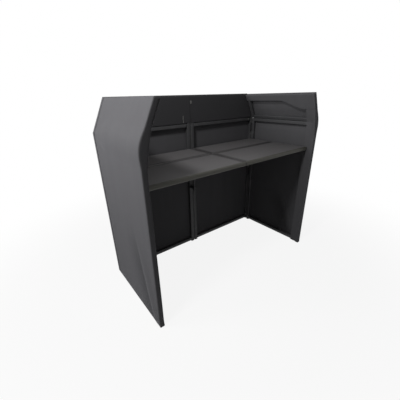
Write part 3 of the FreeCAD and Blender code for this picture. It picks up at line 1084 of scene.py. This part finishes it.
class BOOTH_OT_table(bpy.types.Operator):
    """Make the four table boards, the seals in their seams and the edging on the performer's edge"""

    bl_idname = "booth.table"
    bl_label = "Make table"

    def execute(self, context):
        settings = context.scene.booth_table
        for side in SIDES:
            for row in ("back", "rear"):
                node = f"table_{side}_{row}_board"
                bm = bmesh.new()
                low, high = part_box(node)
                add_bar(bm, low, high, settings.edge, segments=5)
                self.seam_bands(bm, settings, high.z)
                piece = make_piece(node + "_panel", bm, "board")
                even_shading(piece)
                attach(piece, f"{side}_{row}_board")
                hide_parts(node)
            self.nosing(settings, side)
        self.seals(settings)
        return {"FINISHED"}

    def seam_bands(self, bm, settings, top):
        """Marks painted shade on a board's rounded edges and in a band beside each seam."""
        seams = (0.0, (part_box("table_left_back_board")[0].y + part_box("table_left_rear_board")[1].y) / 2)
        for axis, seam in enumerate(seams):
            for reach in (settings.band, settings.band + settings.band_fade):
                cut_rows(bm, bm.faces, (seam - reach, seam + reach), axis)
        rim = bm.verts.layers.float.new(PAINTED_SEAM_SHADE)
        # Painted shade: full on rounded edges and in the band, fading away from each seam.
        for v in bm.verts:
            near = min(abs(v.co[axis] - seam) for axis, seam in enumerate(seams))
            band = 1.0 - ease((near - settings.band) / settings.band_fade)
            v[rim] = max(band, float(v.co.z < top - SAME))

    def seals(self, settings):
        """Rubber lips in the seams, on the back boards' rear edges and the left boards' inner edges."""
        boxes = {(s, r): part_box(f"table_{s}_{r}_board") for s in SIDES for r in ("back", "rear")}
        left_low, left_high = boxes["left", "back"]
        right_low = boxes["right", "back"][0]
        rear_high = boxes["left", "rear"][1]
        edging_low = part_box("table_left_edging")[0]
        root, room = settings.seal_root, settings.seal_room
        across = (left_high.x - root, right_low.x - room)
        along = (rear_high.y + room, left_low.y + root)
        spans = {
            ("left", "back"): [
                ((left_low.x, left_high.x), along),
                (across, (rear_high.y + room, left_high.y)),
            ],
            ("right", "back"): [((right_low.x, boxes["right", "back"][1].x), along)],
            ("left", "rear"): [(across, (edging_low.y + room, rear_high.y))],
        }
        bottom, top = left_low.z + settings.edge, left_high.z - settings.seal_depth
        for (side, row), pieces in spans.items():
            bm = bmesh.new()
            for (x0, x1), (y0, y1) in pieces:
                add_bar(bm, Vector((x0, y0, bottom)), Vector((x1, y1, top)), room)
            seal = make_piece(f"table_{side}_{row}_seal", bm, "rubber")
            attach(seal, f"{side}_{row}_board")

    def nosing(self, settings, side):
        """The rounded strip that closes the performer's edge and laps over the board."""
        node = f"table_{side}_edging"
        low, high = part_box(node)
        rise = Vector((0, 0, settings.nosing_rise))
        high = high + Vector((0, settings.nosing_lip, 0)) + rise
        bm = bmesh.new()
        add_block(bm, low - rise, high)
        edges = [
            e for e in bm.edges
            if all(v.co.y < low.y + SAME for v in e.verts) and abs(e.verts[0].co.z - e.verts[1].co.z) < SAME
        ]
        round_edges(bm, edges, settings.nosing_edge, segments=6)
        piece = make_piece(node + "_strip", bm, "edging")
        even_shading(piece)
        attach(piece, side + "_rear_board")
        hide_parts(node)


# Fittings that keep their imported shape.


class BOOTH_OT_fittings(bpy.types.Operator):
    """Give the hinges, ledgers, gate and feet their finishes"""

    bl_idname = "booth.fittings"
    bl_label = "Finish fittings"

    def execute(self, context):
        slots = {part["node"]: part["material_slot"] for part in frame["record"]["subparts"]}
        for name, node in frame["nodes"].items():
            if node.hide_render:
                continue
            node.data.materials.clear()
            node.data.materials.append(finish_for(slots[name]))
        return {"FINISHED"}


# The stage.

# The camera was fitted to the booth's corners: pixels of a square picture, millimetres of sensor and degrees.
PHOTO_PIXELS = 400
FOCAL_PIXELS = 242.26
SENSOR = 36.0
VIEW_AZIMUTH = -37.010
VIEW_ELEVATION = 23.363
VIEW_ROLL = 1.482
VIEW_TARGET = (-0.1404, 0.0, 0.5049)
VIEW_DISTANCE = 1.6180
VIEW_NEAREST = 0.01
VIEW_FARTHEST = 60.0
# Where the two lamps stand, and what they point at.
KEY_PLACE = (-1.285, -0.47, 2.20)
KEY_AIM = (-0.20, 0.0, 0.79)
SIDE_PLACE = (-2.10, 0.55, 1.58)
SIDE_AIM = (0.0, 0.0, 2.60)


def look_along(back, roll=0.0):
    """A turn whose local Z is back and whose local X is level, then rolled."""
    right = Vector((0, 0, 1)).cross(back).normalized()
    up = back.cross(right)
    cosine, sine = math.cos(roll), math.sin(roll)
    rolled_right = cosine * right - sine * up
    rolled_up = sine * right + cosine * up
    return Matrix((rolled_right, rolled_up, back)).transposed().to_4x4()


class BOOTH_OT_stage(bpy.types.Operator):
    """Make the floor, the light and the camera"""

    bl_idname = "booth.stage"
    bl_label = "Make stage"

    def execute(self, context):
        settings = context.scene.booth_stage
        self.floor(context, settings)
        self.light(context, settings)
        self.camera(context)
        context.scene.view_settings.view_transform = "Standard"
        return {"FINISHED"}

    def floor(self, context, settings):
        """A pale floor that shows a soft shadow near the booth and fades to white."""
        bm = bmesh.new()
        bmesh.ops.create_circle(bm, cap_ends=True, radius=settings.floor_radius, segments=96)
        mesh = bpy.data.meshes.new("floor")
        bm.to_mesh(mesh)
        bm.free()
        ground = bpy.data.objects.new("floor", mesh)
        context.scene.collection.objects.link(ground)
        paint = Finish("floor paint")
        _, (x, y, _) = paint.place()
        away = (x * x + y * y) ** 0.5
        shaded = settings.shadow * (1.0 - away.between(settings.shadow_start, settings.shadow_reach))
        matte = paint.add("ShaderNodeBsdfDiffuse", None, {"Color": (*settings.floor_tint, 1.0)})
        white = paint.add("ShaderNodeEmission", None, {"Color": (1, 1, 1, 1), "Strength": 1.0})
        pale = paint.add("ShaderNodeMixShader", None, {0: shaded, 1: white, 2: matte})
        dim = paint.add("ShaderNodeBsdfDiffuse", None, {"Color": (*settings.bounce_tint, 1.0)})
        both = paint.add("ShaderNodeMixShader", None, {0: paint.seen(), 1: dim, 2: pale})
        paint.add("ShaderNodeOutputMaterial", None, {"Surface": both})
        mesh.materials.append(paint.material)

    def light(self, context, settings):
        """The two soft lamps, and a white world that lights the booth only a little."""
        lamps = (
            ("key", KEY_PLACE, KEY_AIM, settings.key_size, settings.key_watts),
            ("side", SIDE_PLACE, SIDE_AIM, settings.side_size, settings.side_watts),
        )
        for name, place, aim, size, watts in lamps:
            lamp = bpy.data.lights.new(name, "AREA")
            lamp.shape = "DISK"
            lamp.size = size
            lamp.energy = watts
            back = (Vector(place) - Vector(aim)).normalized()
            holder = bpy.data.objects.new(name, lamp)
            holder.matrix_world = Matrix.Translation(place) @ look_along(back)
            holder.visible_camera = False
            context.scene.collection.objects.link(holder)
        world = bpy.data.worlds.new("studio")
        world.use_nodes = True
        context.scene.world = world
        sky = NodeBoard(world.node_tree)
        strength = settings.ambient + sky.seen() * (1.0 - settings.ambient)
        glow = sky.add("ShaderNodeBackground", None, {"Color": (1, 1, 1, 1), "Strength": strength})
        sky.add("ShaderNodeOutputWorld", None, {"Surface": glow})

    def camera(self, context):
        """The camera at the picture's viewing angle."""
        azimuth, elevation = math.radians(VIEW_AZIMUTH), math.radians(VIEW_ELEVATION)
        flat = math.cos(elevation)
        back = Vector((math.sin(azimuth) * flat, -math.cos(azimuth) * flat, math.sin(elevation)))
        lens = bpy.data.cameras.new("camera")
        lens.sensor_width = SENSOR
        lens.lens = SENSOR * FOCAL_PIXELS / PHOTO_PIXELS
        lens.clip_start = VIEW_NEAREST
        lens.clip_end = VIEW_FARTHEST
        camera = bpy.data.objects.new("camera", lens)
        eye = Vector(VIEW_TARGET) + back * VIEW_DISTANCE
        camera.matrix_world = Matrix.Translation(eye) @ look_along(back, math.radians(VIEW_ROLL))
        context.scene.collection.objects.link(camera)
        context.scene.camera = camera


class BOOTH_PT_panel(bpy.types.Panel):
    """Settings and steps of the booth"""

    bl_label = "Folding booth"
    bl_idname = "BOOTH_PT_panel"
    bl_space_type = "VIEW_3D"
    bl_region_type = "UI"
    bl_category = "Booth"

    def draw(self, context):
        for group, steps in STEPS.items():
            box = self.layout.box()
            settings = getattr(context.scene, group)
            for name in settings.__annotations__:
                box.prop(settings, name)
            for step in steps:
                box.operator(step)


SETTINGS = {
    "booth_frames": FrameSettings,
    "booth_covers": CoverSettings,
    "booth_table": TableSettings,
    "booth_stage": StageSettings,
}
STEPS = {
    "booth_frames": ("booth.tube_frames", "booth.fittings"),
    "booth_covers": ("booth.front_covers", "booth.tongues", "booth.pulls", "booth.wing_covers"),
    "booth_table": ("booth.table",),
    "booth_stage": ("booth.stage",),
}
CLASSES = (
    *SETTINGS.values(),
    BOOTH_OT_tube_frames,
    BOOTH_OT_front_covers,
    BOOTH_OT_tongues,
    BOOTH_OT_pulls,
    BOOTH_OT_wing_covers,
    BOOTH_OT_table,
    BOOTH_OT_fittings,
    BOOTH_OT_stage,
    BOOTH_PT_panel,
)


def register():
    for cls in CLASSES:
        bpy.utils.register_class(cls)
    for name, group in SETTINGS.items():
        setattr(bpy.types.Scene, name, bpy.props.PointerProperty(type=group))


def unregister():
    for name in SETTINGS:
        delattr(bpy.types.Scene, name)
    for cls in reversed(CLASSES):
        bpy.utils.unregister_class(cls)


def main():
    """Makes every piece and the stage."""
    register()
    bpy.ops.booth.tube_frames()
    bpy.ops.booth.front_covers()
    bpy.ops.booth.tongues()
    bpy.ops.booth.pulls()
    bpy.ops.booth.wing_covers()
    bpy.ops.booth.table()
    bpy.ops.booth.fittings()
    bpy.ops.booth.stage()


if __name__ == "__main__":
    main()
